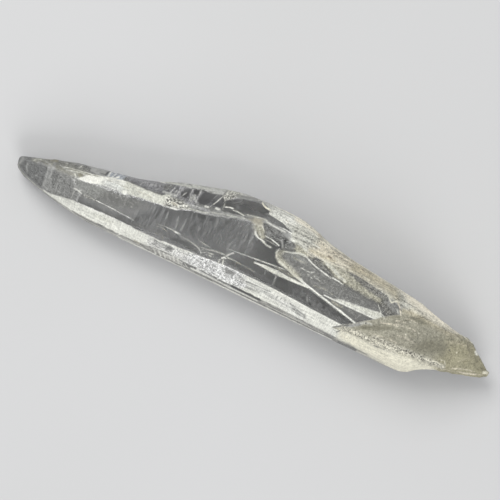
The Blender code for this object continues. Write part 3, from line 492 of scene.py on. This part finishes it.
     (35, 2.3), (36.2, 2.2), (37.3, 2.4)), ((34.6, 2.1), (35.6, 1.9), (36.6, 1.95)), ((38.6, 3.2),
     (39.4, 2.6), (39.2, 2.1)), ((39.6, 3.4), (40.6, 2.7), (40.5, 2.2)), ((41.2, 3.3), (41.8, 2.5),
     (42.6, 2.2)), ((63.4, 3.6), (63.2, 2.4)), ((64.3, 3.7), (64.1, 2.5)), ((65.2, 3.7),
     (65.1, 2.3)), ((66, 3.6), (66, 2.6))),
    ("ashen", 0.12, 0.2, ((51, 4.2), (53.5, 4.1), (55, 3.9)), ((66.5, 3.4), (70.6, 2.3))),
    ("ashen", 0.08, 0.12, ((56, 3.65), (61.6, 3.8))),
    ("netted", 0.4, 0.35, ((54.6, 2.4), (56, 2.6))),
    ("ashen", 0.1, 0.2, ((67.4, 2.7), (69, 2.4))),
    ("pale", 0.16, 0.3, ((51.4, 2.8), (52.2, 2.8))),
    # Strip under the band
    ("grey", 0.36, 0.16, ((42.3, 1.2), (43.8, 1.15), (44.8, 1.25))),
    ("grey", 0.1, 0.1, ((46, 1.4), (50, 1.35))),
    ("slate", 0.12, 0.1, ((50.5, 1.3), (60.6, 1.2))),
    ("slate", 0.26, 0.1, ((53.6, 1.28), (60.2, 1.22))),
    ("grey", 0.3, 0.16, ((79.6, 0.4), (83.6, 0.45))),
    ("band", 0.18, 0.14, ((8, 2.25), (9.4, 2), (11, 1.8))),
    ("ivory", 0.2, 0.8, ((20.5, 2.2), (24, 2.3))),
    ("ashen", 0.05, 0.4, ((56.6, 2.4), (59.4, 2.7))),
    ("grey", 0.08, 0.1, ((34, 1.35), (39, 1.6))),
    ("grey", 0.1, 0.14, ((41, 1.5), (42.4, 1.35))),
    ("snow", 0.08, 0.1, ((42.4, 1.3), (43.2, 0.7)), ((44.4, 1.2), (45.2, 0.8))),
    ("slate", 0.04, 0.1, ((60.6, 1.2), (66, 1.2), (78, 0.7))),
    ("grey", 0.08, 0.1, ((42, 0.6), (62, 0.45))),
    ("band", 0.12, 0.1, ((44, 0.95), (60, 0.8))),
    ("ivory", 0.03, 0.1, ((60, 0.8), (76, 0.5))),
    ("grey", 0.08, 0.1, ((63, 0.45), (70, 0.5), (79, 0.35))),
    ("band", 0.14, 0.1, ((27, 0.18), (45, 0.12), (78, 0.12))),
    ("grey", 0.12, 0.14, ((77.4, 0.45), (79.6, 0.4))),
    ("grey", 0.08, 0.1, ((33, 0.45), (36, 0.4), (41, 0.45))),
    ("snow", 0.12, 0.1, ((35, 1.3), (35.7, 0.5)), ((36.2, 1.3), (36.9, 0.5)), ((37.3, 1.3),
     (38, 0.5))),
    ("snow", 0.1, 0.1, ((39.6, 1.4), (40.1, 0.7)), ((40.6, 1.4), (41.2, 0.7))),
    ("grey", 0.1, 0.14, ((19, 0.65), (27, 0.6))),
    ("ivory", 0.05, 0.12, ((13, 1), (17, 0.4), (21, 0.25), (27, 0.25))),
    ("band", 0.08, 0.1, ((26.4, 0.3), (27.3, 1))),
    ("snow", 0.08, 0.1, ((38.6, 1.4), (39.2, 0.7))),
    ("slate", 0.04, 0.1, ((80, 0.9), (87, 0.55))),
)

# Leaves and cracks inside: (name, cover, dip, ragged, whether one edge is strong,
# (along, across, half width) knots), in mm
FRACTURES = (
    ("white_leaf", 0.7, 0.3, 0.2, False, ((55.6, 8.05, 0.08), (57, 8.05, 0.25), (58.4, 8.1, 0.45),
     (62, 8.15, 0.5), (65, 8.3, 0.34), (68, 8.4, 0.05))),
    ("long_line", 0.6, 0.2, 0.4, False, ((49.2, 8.15, 0.06), (52, 8.4, 0.1), (54.9, 8.7, 0.14),
     (58.9, 9.1, 0.18), (62.9, 9.5, 0.08))),
    ("shell_rim", 0.8, 0.9, 0.3, True, ((59.3, 13.1, 0.3), (58.8, 12.3, 0.75), (59.3, 11.2, 0.95),
     (60.6, 10.4, 0.8), (62.9, 9.7, 0.5), (66.8, 8.6, 0.28), (69, 7.9, 0.18), (73, 7.1, 0.17),
     (76.2, 6.4, 0.16), (80.5, 5.65, 0.14))),
    ("rim_line", 0.5, 0.2, 0.3, False, ((62, 9.9, 0.06), (66.8, 8.7, 0.15), (69, 8, 0.16),
     (73, 7.2, 0.15), (76.2, 6.45, 0.15), (80.6, 5.75, 0.12))),
    ("shell_brow", 0.7, 0.5, 0.4, False, ((59.6, 12.8, 0.08), (60.6, 13.1, 0.15), (62, 13.7, 0.2),
     (63.4, 14.25, 0.15), (64.4, 14.3, 0.06))),
    ("shell_back", 0.6, 0.3, 0.4, False, ((64.9, 14, 0.06), (66.4, 13.6, 0.13), (68.2, 12.9, 0.15),
     (71.4, 12.3, 0.18), (74.8, 11.95, 0.06))),
    ("curl", 0.8, 0.8, 0.4, True, ((51.9, 15.7, 0.15), (52.5, 14.6, 0.45), (53.4, 13.5, 0.6),
     (54.6, 13, 0.45), (55.6, 12.7, 0.25), (56.8, 12.1, 0.12))),
    ("curl_lip", 0.6, 0.3, 0.4, False, ((53, 14, 0.08), (53.6, 13.4, 0.2), (54.6, 13.1, 0.2),
     (55.6, 12.8, 0.14), (56.7, 12.2, 0.1))),
    ("curl_streak", 0.7, 0.3, 0.4, False, ((55.3, 14.15, 0.08), (57, 14, 0.18),
     (58.9, 13.75, 0.12))),
    ("curl_under", 0.7, 0.3, 0.4, False, ((55.8, 13.4, 0.04), (57.2, 13.35, 0.08),
     (58.6, 13.3, 0.05))),
    ("curl_inner", 0.8, 0.3, 0.4, False, ((53.9, 15.6, 0.06), (54.7, 14.9, 0.14),
     (55.3, 14.4, 0.06))),
    ("feather", 0.7, 0.2, 0.6, True, ((73.8, 8.05, 0.06), (76, 8.05, 0.2), (79, 8.15, 0.4),
     (82, 8.3, 0.65), (84.3, 8.35, 0.75), (85.2, 8.9, 0.5))),
    ("feather_edge", 0.5, 0.2, 0.3, False, ((73.4, 8.05, 0.05), (76, 8.1, 0.14), (79, 8.2, 0.16),
     (84.3, 8.3, 0.1))),
    ("tip_seam", 0.5, 0.2, 0.4, False, ((12.9, 7.3, 0.07), (13.8, 6.2, 0.1), (14.2, 5.6, 0.18),
     (15.6, 5.3, 0.1), (20.2, 5.25, 0.09), (24, 5.1, 0.12), (28.6, 4.9, 0.05))),
    ("fork_stem", 0.5, 0.2, 0.4, False, ((37.7, 6.3, 0.04), (41, 6.1, 0.08), (43, 5.75, 0.13),
     (44.3, 5.2, 0.17), (44.8, 4.4, 0.08))),
    ("fork_arm", 0.5, 0.2, 0.4, False, ((44.3, 5.4, 0.1), (45.5, 6, 0.14), (47.5, 6.5, 0.14),
     (50.3, 6.6, 0.12), (53.5, 6.4, 0.05))),
    ("fork_twig", 0.5, 0.2, 0.4, False, ((45.4, 4.6, 0.06), (46.2, 5.4, 0.1), (47.3, 5.9, 0.08))),
    ("short_dash", 0.5, 0.1, 0.3, False, ((43, 7.05, 0.04), (44.3, 6.95, 0.09),
     (45.8, 6.75, 0.05))),
    ("early_dash", 0.5, 0.1, 0.3, False, ((33, 6.3, 0.04), (35.2, 6.6, 0.06), (37.4, 6.65, 0.12),
     (39.2, 6.6, 0.05))),
    ("slant", 0.6, 0.4, 0.4, False, ((48.9, 5, 0.12), (49.5, 6.2, 0.16), (50.1, 7, 0.16),
     (50.9, 8.1, 0.06))),
    ("slant_foot", 0.6, 0.4, 0.5, False, ((48.6, 6, 0.08), (49.4, 5.6, 0.16), (49.8, 4.7, 0.08))),
    ("upright", 0.6, 0.2, 0.4, False, ((61.1, 9.2, 0.06), (61.2, 7.6, 0.09), (61.4, 5.6, 0.05))),
    ("scratch_a", 0.5, 0.1, 0.5, False, ((65.2, 11.3, 0.05), (67, 11.25, 0.12),
     (69.9, 10.5, 0.05))),
    ("scratch_b", 0.5, 0.1, 0.5, False, ((66.5, 11, 0.04), (68.5, 11.3, 0.1), (70.6, 10.9, 0.04))),
    ("scratch_c", 0.5, 0.1, 0.5, False, ((69.5, 9.2, 0.04), (71, 9.5, 0.1), (73.5, 9.1, 0.04))),
)


def place(along, across, up):
    """A point given in mm from the tip, from the long straight edge and from the floor."""
    return Vector((TIP_X + along * MM, LONG_EDGE_Y + across * MM, up * MM))


def in_mm(point):
    """The reverse: mm along from the tip, across from the long straight edge, and up."""
    return Vector(((point.x - TIP_X) / MM, (point.y - LONG_EDGE_Y) / MM, point.z / MM))


def smooth_step(low, high, value):
    share = min(1.0, max(0.0, (value - low) / (high - low)))
    return share * share * (3.0 - 2.0 * share)


def waves(spot, octaves):
    """Uneven but repeatable height at a point, from waves of (share, how many per mm)."""
    return sum(share * noise.noise(spot * pitch) for share, pitch in octaves)


def crown(along):
    """Height of the main face above the floor, in mm."""
    (start, low), (end, high) = CROWN_TIP, CROWN_BASE
    return low + (high - low) * (along - start) / (end - start)


def distance_from(line, along, across):
    """Distance from a line of points, in mm."""
    nearest = math.inf
    for (x0, y0), (x1, y1) in zip(line, line[1:]):
        run, rise = x1 - x0, y1 - y0
        share = ((along - x0) * run + (across - y0) * rise) / (run * run + rise * rise)
        share = min(1.0, max(0.0, share))
        nearest = min(nearest, math.hypot(x0 + share * run - along, y0 + share * rise - across))
    return nearest


def inside_by(outline, along, across):
    """How far a point lies inside an outline, in mm. It is negative outside."""
    loop = (*outline, outline[0])
    inside = False
    for (x0, y0), (x1, y1) in zip(loop, loop[1:]):
        if (y0 > across) != (y1 > across):
            if along < x0 + (x1 - x0) * (across - y0) / (y1 - y0):
                inside = not inside
    nearest = distance_from(loop, along, across)
    return nearest if inside else -nearest


# ---------------- studio

def add_camera():
    data = bpy.data.cameras.new("camera")
    data.lens = LENS
    data.sensor_width = SENSOR
    data.clip_start = 0.01
    data.clip_end = 100.0
    camera = bpy.data.objects.new("camera", data)
    distance = FRAME_WIDTH * LENS / SENSOR
    camera.location = place(*LOOK_AT) + Vector((0.0, 0.0, distance))
    camera.rotation_euler = Euler((0.0, 0.0, ROLL))
    bpy.context.scene.collection.objects.link(camera)
    bpy.context.scene.camera = camera


def add_softbox(name, location, power):
    """A square lamp that faces the crystal."""
    data = bpy.data.lights.new(name, "AREA")
    data.size = SOFTBOX_SIZE
    data.energy = power
    lamp = bpy.data.objects.new(name, data)
    lamp.location = location
    lamp.rotation_euler = (-Vector(location)).to_track_quat("-Z", "Y").to_euler()
    bpy.context.scene.collection.objects.link(lamp)


def add_world():
    world = bpy.data.worlds.new("studio")
    world.use_nodes = True
    back = world.node_tree.nodes["Background"]
    back.inputs["Color"].default_value = (*SKY, 1.0)
    back.inputs["Strength"].default_value = SKY_STRENGTH
    bpy.context.scene.world = world


def add_floor():
    mesh = bmesh.new()
    bmesh.ops.create_grid(mesh, x_segments=1, y_segments=1, size=FLOOR_HALF)
    bmesh.ops.translate(mesh, verts=mesh.verts, vec=(0.0, 0.0, -FLOOR_DROP))
    floor = add_piece("floor", mesh, floor_material())


# ---------------- materials

class Finish:
    """Builds one material's nodes. Its methods return sockets."""

    def __init__(self, name):
        self.material = bpy.data.materials.new(name)
        self.material.use_nodes = True
        self.tree = self.material.node_tree
        self.shader = self.tree.nodes["Principled BSDF"]
        self.place = self.node("TexCoord", "Object", {})

    def feed(self, socket, value):
        """Links or sets a socket. Colours are given as red, green and blue."""
        if isinstance(value, bpy.types.NodeSocket):
            self.tree.links.new(value, socket)
        elif socket.type == "RGBA":
            socket.default_value = (*value, 1.0)
        else:
            socket.default_value = value

    def node(self, kind, output, inputs, **settings):
        """A new node's output. Its inputs are given by number or name."""
        node = self.tree.nodes.new("ShaderNode" + kind)
        for setting, value in settings.items():
            setattr(node, setting, value)
        for socket, value in inputs.items():
            self.feed(node.inputs[socket], value)
        return node.outputs[output]

    def attribute(self, name, kind="Fac"):
        return self.node("Attribute", kind, {}, attribute_name=name)

    def math(self, operation, first, second, clamp=False):
        return self.node("Math", 0, {0: first, 1: second}, operation=operation, use_clamp=clamp)

    def plus(self, first, second, clamp=False):
        return self.math("ADD", first, second, clamp)

    def minus(self, first, second):
        return self.math("SUBTRACT", first, second)

    def times(self, first, second, clamp=False):
        return self.math("MULTIPLY", first, second, clamp)

    def distance(self):
        """How far the point is from the middle of the piece."""
        return self.node("VectorMath", "Value", {0: self.place}, operation="LENGTH")

    def stretched(self, stretch):
        return self.node("VectorMath", 0, {0: self.place, 1: stretch}, operation="MULTIPLY")

    def cracks(self, stretch):
        """Distance from the edge of irregular cells, 1 / stretch metres along each axis."""
        inputs = {"Vector": self.stretched(stretch), "Scale": 1.0}
        return self.node("TexVoronoi", "Distance", inputs, feature="DISTANCE_TO_EDGE")

    def noise(self, stretch, detail=2.0, rough=0.5):
        """Noise whose cells are 1 / stretch metres along each axis."""
        return self.node("TexNoise", 0, {
            "Vector": self.stretched(stretch), "Scale": 1.0, "Detail": detail, "Roughness": rough,
        })

    def spread(self, value, low, high, to_low=0.0, to_high=1.0):
        return self.node("MapRange", 0, dict(enumerate((value, low, high, to_low, to_high))))

    def mix(self, share, first, second, blend="MIX"):
        inputs = {0: share, 6: first, 7: second}
        return self.node("Mix", 2, inputs, data_type="RGBA", blend_type=blend)

    def bump(self, height, distance):
        return self.node("Bump", 0, {"Height": height, "Strength": 1.0, "Distance": distance})

    def surface(self, **values):
        for name, value in values.items():
            self.feed(self.shader.inputs[name.replace("_", " ")], value)


def floor_material():
    floor = Finish("pale_floor")
    cloud = floor.spread(floor.noise((9.0, 9.0, 9.0)), 0.3, 0.7)
    tint = floor.mix(cloud, (0.585, 0.585, 0.58), (0.6, 0.6, 0.6))
    # Paler far out, where the lamps don't reach, so that it runs into the background
    far = floor.spread(floor.distance(), 0.25, 1.6)
    floor.surface(
        Base_Color=floor.mix(far, tint, (0.955, 0.965, 0.985)),
        Roughness=0.9,
        Specular_IOR_Level=0.1,
    )
    return floor.material


def quartz_material():
    """Clear glassy crystal, turned milky and dull where the painted attributes say so."""
    quartz = Finish("clear_quartz")
    plus, minus, times = quartz.plus, quartz.minus, quartz.times
    milk, dull, grain, streaks, striae, net = (quartz.attribute(name) for name in COLUMNS)
    tone = quartz.attribute("tone", "Vector")

    specks = quartz.spread(quartz.noise((3000.0, 3000.0, 3000.0), 3.0, 0.6), 0.32, 0.68, -1.0)
    mottle = quartz.spread(quartz.noise((1400.0, 1400.0, 1400.0), 3.0), 0.32, 0.68, -1.0)
    clouds = quartz.spread(quartz.noise((260.0, 260.0, 260.0), 3.0), 0.3, 0.7, -1.0)
    along = quartz.spread(quartz.noise((150.0, 1700.0, 900.0), 4.0, 0.6), 0.42, 0.6)
    across = quartz.spread(quartz.noise((6200.0, 330.0, 330.0)), 0.42, 0.62)
    flecks = quartz.spread(quartz.noise((2600.0, 2600.0, 2600.0)), 0.6, 0.7)
    cells = quartz.spread(quartz.cracks((1100.0, 1500.0, 1500.0)), 0.02, 0.14)

    # The milk is patchy by its grain, and a little where it is half there
    patchy = plus(times(specks, 0.65), times(mottle, 0.35))
    half = times(milk, minus(1.0, milk), clamp=True)
    uneven = plus(grain, times(quartz.math("POWER", times(half, 4.0), 3.0), 0.1))
    haze = plus(milk, times(patchy, uneven))
    haze = plus(haze, times(across, times(striae, 0.14)))
    lace = times(minus(1.0, cells), times(net, 0.5))
    haze = plus(haze, lace, clamp=True)

    # Its colour goes darker in streaks, specks, flecks and the cells of the net
    value = plus(1.0, times(patchy, plus(times(grain, 1.1), 0.08)))
    value = plus(value, times(clouds, 0.1))
    value = plus(value, times(minus(across, 0.4), times(striae, 0.6)))
    value = minus(value, times(times(along, streaks), 0.55))
    value = minus(value, times(times(flecks, grain), 0.7))
    deep = times(cells, quartz.spread(mottle, -0.7, 0.5))
    value = minus(value, times(times(deep, net), 0.9))
    value = quartz.math("MAXIMUM", value, 0.15)
    shade = quartz.node("CombineColor", 0, {0: value, 1: value, 2: value})
    milk_colour = quartz.mix(1.0, tone, shade, "MULTIPLY")

    relief = plus(times(specks, grain), times(across, times(striae, 0.3)))
    relief = minus(relief, times(along, streaks))
    # Even a little milk lends its colour to the whole surface
    tinted = times(haze, 4.0, clamp=True)
    quartz.surface(
        Base_Color=quartz.mix(tinted, (1.0, 1.0, 1.0), milk_colour),
        Roughness=plus(dull, times(haze, 0.1), clamp=True),
        IOR=QUARTZ_IOR,
        Transmission_Weight=minus(1.0, haze),
        Normal=quartz.bump(relief, 0.05 * MM),
    )
    inside = quartz.node("VolumeAbsorption", 0, {"Color": SMOKE, "Density": SMOKE_DENSITY})
    quartz.feed(quartz.tree.nodes["Material Output"].inputs["Volume"], inside)
    return quartz.material


def fracture_material():
    """The silvery white of a crack's air gap, thin where the sheet's body attribute is low."""
    crack = Finish("fracture_white")
    body = crack.attribute("body")
    wisps = crack.spread(crack.noise((1500.0, 1500.0, 1500.0), 4.0), 0.3, 0.62)
    thick = crack.plus(wisps, crack.times(body, 1.6))
    crack.surface(
        Base_Color=crack.mix(wisps, (0.88, 0.87, 0.79), (1.0, 1.0, 0.96)),
        Roughness=0.35,
        Alpha=crack.times(body, thick, clamp=True),
    )
    return crack.material


# ---------------- pieces

def add_piece(name, mesh, material):
    data = bpy.data.meshes.new(name)
    mesh.to_mesh(data)
    mesh.free()
    piece = bpy.data.objects.new(name, data)
    piece.data.materials.append(material)
    bpy.context.scene.collection.objects.link(piece)
    return piece


def fix_to_crystal(piece):
    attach(piece, "root")


def even_copy():
    """The solid's shape, remeshed into even small faces that keep its sharp edges."""
    mesh = bmesh.new()
    mesh.from_mesh(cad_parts["crystal"].data)
    bmesh.ops.remove_doubles(mesh, verts=mesh.verts[:], dist=0.001 * MM)
    rough_cast = add_piece("rough_cast", mesh, None)
    remesh = rough_cast.modifiers.new("even", "REMESH")
    remesh.mode = "SHARP"
    remesh.octree_depth = EVEN_DEPTH
    remesh.scale = EVEN_SCALE
    bpy.context.view_layer.update()
    graph = bpy.context.evaluated_depsgraph_get()
    data = bpy.data.meshes.new_from_object(rough_cast.evaluated_get(graph))
    bpy.data.objects.remove(rough_cast)
    mesh = bmesh.new()
    mesh.from_mesh(data)
    bpy.data.meshes.remove(data)
    return mesh


def reach(points, margin):
    """The lowest and highest (along, across) that a line or outline has a say in."""
    alongs, acrosses = zip(*points)
    return (min(alongs) - margin, min(acrosses) - margin,
            max(alongs) + margin, max(acrosses) + margin)


RECIPES = {name: (*numbers, *colour) for name, (*numbers, colour) in FINISH.items()}
AREAS = [(name, softness, outline, reach(outline, softness + WANDER))
         for name, softness, outline in PATCHES]
LINES = [(name, half_width, softness, line, reach(line, half_width + softness + WANDER))
         for name, half_width, softness, *lines in STROKES for line in lines]


def within(box, spot):
    return box[0] < spot.x < box[2] and box[1] < spot.y < box[3]


def blend(values, name, share):
    """Moves the values towards a finish, by a share of the way."""
    if share > 0.0:
        for index, value in enumerate(RECIPES[name]):
            values[index] += (value - values[index]) * share


def finish_at(spot, outward):
    """The blend of finishes at a point: one number for each column of FINISH, then the colour."""
    wander = WANDER * waves(spot, EDGE_WAVES)
    values = [*RECIPES["clear"]]
    for name, softness, outline, box in AREAS:
        if within(box, spot):
            stray = wander * min(1.0, CRISP_WANDER * softness)
            inside = inside_by(outline, spot.x, spot.y) + stray
            share = smooth_step(-softness, softness, inside)
            if softness > SOFTEST_EDGE and RECIPES[name][0] > DENSE:
                share *= min(1.0, values[0] / RECIPES[name][0])
            blend(values, name, share)
    for name, half_width, softness, line, box in LINES:
        if within(box, spot):
            away = distance_from(line, spot.x, spot.y) - half_width + STROKE_WANDER * wander
            blend(values, name, 1.0 - smooth_step(-softness, softness, away))
    blend(values, "belly", smooth_step(*BELLY_TURN, -outward.z))
    return values


def nick(vert, spot):
    """Wear along a sharp edge, in mm: mostly a little, and here and there a small chip."""
    sharp = max((edge.calc_face_angle(0.0) for edge in vert.link_edges), default=0.0)
    if sharp < WORN_ANGLE:
        return 0.0
    chipped = noise.noise(spot * CHIP_WAVES + Vector((9.0, 2.0, 5.0)))
    return WEAR + CHIP * smooth_step(0.25, 0.6, chipped)


def paint(verts, layers, tone, depth):
    """Stores the finish at each vertex, and how far its relief moves it."""
    for vert in verts:
        spot = in_mm(vert.co)
        *shares, coarse, fine, red, green, blue = finish_at(spot, vert.normal)
        for layer, share in zip(layers, shares):
            vert[layer] = share
        vert[tone] = (red, green, blue)
        relief = coarse * waves(spot, COARSE_WAVES) + fine * waves(spot, FINE_WAVES)
        vert[depth] = relief - nick(vert, spot) if spot.z > RELIEF_FROM else 0.0


def contrast(edge, milk, tone):
    """How much the finish changes along an edge."""
    one, other = edge.verts
    return abs(one[milk] - other[milk]) + 2.0 * (one[tone] - other[tone]).length


def crystal_body():
    """The crystal itself, with finer faces where its finish changes."""
    mesh = even_copy()
    layers = [mesh.verts.layers.float.new(name) for name in COLUMNS]
    tone = mesh.verts.layers.float_vector.new("tone")
    depth = mesh.verts.layers.float.new("depth")
    mesh.normal_update()
    paint(mesh.verts, layers, tone, depth)
    uneven = [edge for edge in mesh.edges if contrast(edge, layers[0], tone) > CRISP]
    made = bmesh.ops.subdivide_edges(mesh, edges=uneven, cuts=1, use_grid_fill=True)
    mesh.normal_update()
    paint([part for part in {*made["geom_inner"], *made["geom_split"]}
           if isinstance(part, bmesh.types.BMVert)], layers, tone, depth)
    for vert in mesh.verts:
        vert.co += vert.normal * vert[depth] * MM
    body = add_piece("crystal_body", mesh, quartz_material())
    body.data.shade_smooth()
    body.data.set_sharp_from_angle(angle=CREASE)
    fix_to_crystal(body)
    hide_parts("crystal")


def evenly(knots):
    """Even points on a smooth curve through knots, each with the knots' own numbers."""
    out = []
    for index, (start, end) in enumerate(zip(knots, knots[1:])):
        before = knots[max(index - 1, 0)]
        after = knots[min(index + 2, len(knots) - 1)]
        count = max(1, round(math.dist(start[:2], end[:2]) / LEAF_STEP))
        for part in range(count + (index == len(knots) - 2)):
            share = part / count
            out.append([
                0.5 * (2.0 * b + (c - a) * share + (2.0 * a - 5.0 * b + 4.0 * c - d) * share**2
                       + (3.0 * b - a - 3.0 * c + d) * share**3)
                for a, b, c, d in zip(before, start, end, after)
            ])
    return out


def add_leaf(name, cover, dip, ragged, strong_edge, knots, material):
    """A thin sealed crack under the main face. Its line has (along, across, half width)
    knots, cover is its depth, and dip is how much deeper its far side lies per mm of width.
    With a strong edge, the line is that edge and the leaf fades away to its left."""
    line = evenly(knots)
    last = len(line) - 1
    mesh = bmesh.new()
    bmesh.ops.create_grid(mesh, x_segments=LEAF_COLUMNS, y_segments=last, size=1.0)
    body = mesh.verts.layers.float.new("body")
    for vert in mesh.verts:
        side = vert.co.x
        row = round((vert.co.y + 1.0) / 2.0 * last)
        along, across, half_width = line[row]
        ahead, behind = line[min(row + 1, last)], line[max(row - 1, 0)]
        heading = Vector((ahead[0] - behind[0], ahead[1] - behind[1])).normalized()
        fray = Vector((along, across, 0.0)) * 1.7 + Vector((0.0, 0.0, 3.0 * side))
        half = max(half_width, LEAF_NARROWEST) * (1.0 + ragged * noise.noise(fray))
        if strong_edge:
            offset = (1.0 + side) * half
            vert[body] = (0.5 - 0.5 * side) ** 0.7
        else:
            offset = side * half
            vert[body] = 1.0 - abs(side) ** 4
        along, across = along - heading.y * offset, across + heading.x * offset
        wave = LEAF_WAVE * noise.noise(Vector((along * 0.8, across * 0.8, 7.0)))
        depth = cover + dip * offset + wave
        vert.co = place(along, across, crown(along) - max(depth, LEAF_COVER))
    bmesh.ops.solidify(mesh, geom=mesh.faces[:], thickness=LEAF_THICKNESS * MM)
    bmesh.ops.recalc_face_normals(mesh, faces=mesh.faces[:])
    leaf = add_piece(name, mesh, material)
    leaf.data.shade_smooth()
    fix_to_crystal(leaf)


add_camera()
bpy.context.scene.view_settings.view_transform = "Standard"
add_world()
for name, location, power in SOFTBOXES:
    add_softbox(name, location, power)
add_floor()
crystal_body()
white = fracture_material()
for leaf in FRACTURES:
    add_leaf(*leaf, white)
